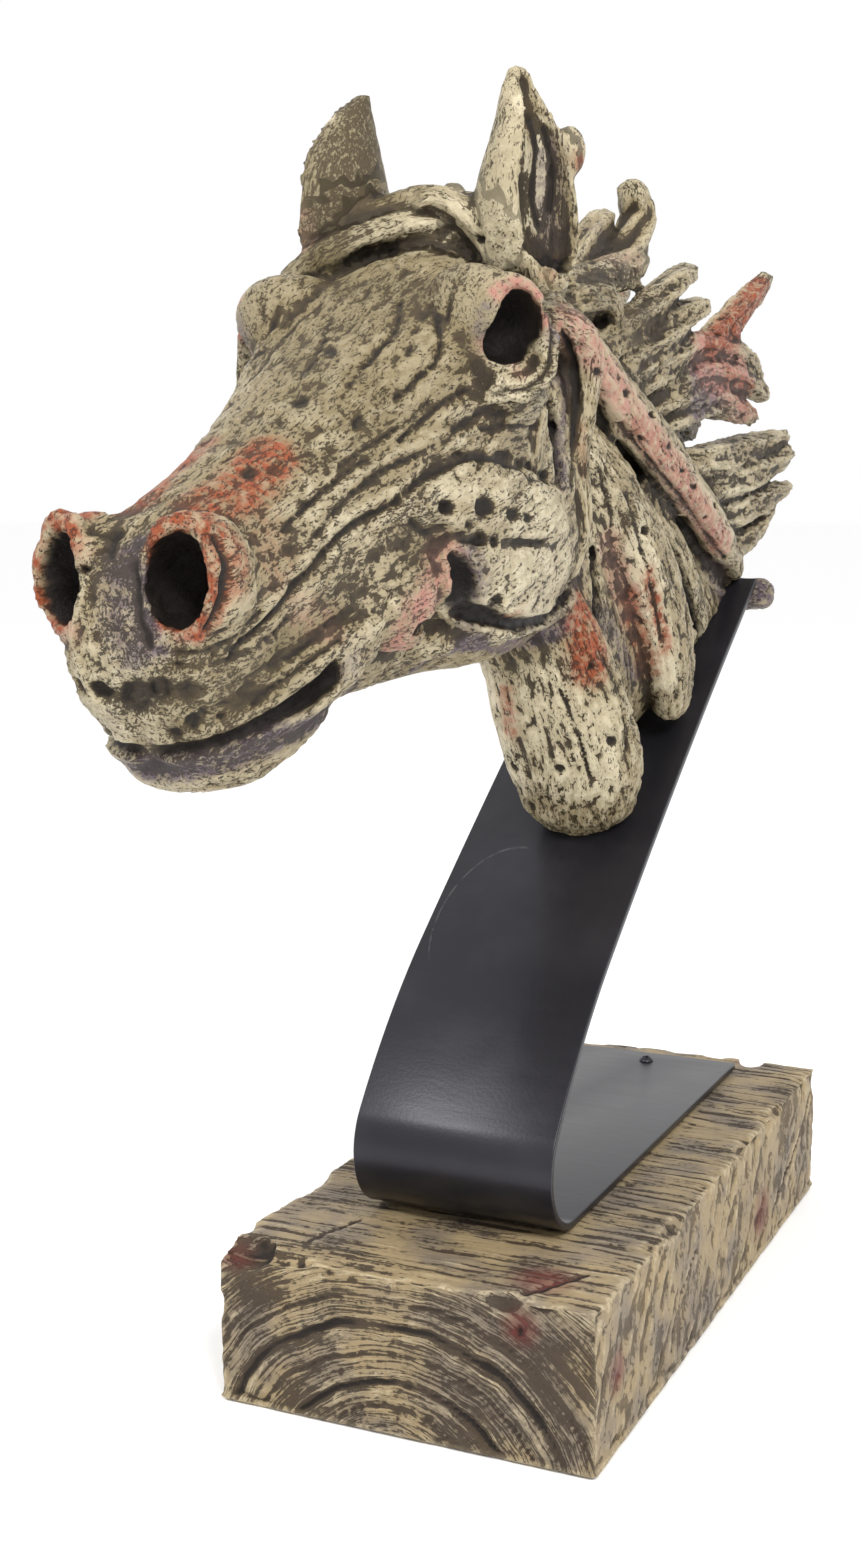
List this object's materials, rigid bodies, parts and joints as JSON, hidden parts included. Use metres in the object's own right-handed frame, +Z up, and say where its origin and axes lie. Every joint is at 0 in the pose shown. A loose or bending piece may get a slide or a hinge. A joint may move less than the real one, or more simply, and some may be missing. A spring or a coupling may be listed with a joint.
{
  "type": "resin horse head sculpture on a bent steel stand",
  "caption": "Horse head and neck cast in resin like weathered driftwood, held up by a bent flat steel strap screwed to a cast timber block.",
  "frame": {"origin": "middle of the block's flat underside", "axes": "the horse looks along -Y, +X is its left side, +Z is up"},
  "size_m": [0.1494, 0.5418, 0.472],
  "materials": {
    "bone_resin": "cast resin painted as driftwood: bone yellow, umber grain, purple-grey hollows, orange and pink washes, slight satin",
    "dark_steel": "satin near-black, faint scratches",
    "cast_timber": "cast resin painted as sawn grey-brown timber with dark saw marks",
    "screw_steel": "blackened steel"
  },
  "bodies": {
    "root": {"horse_head": "bone_resin", "stand_strap": "dark_steel", "base_block": "cast_timber", "strap_screw": "screw_steel"}
  },
  "joints": []
}
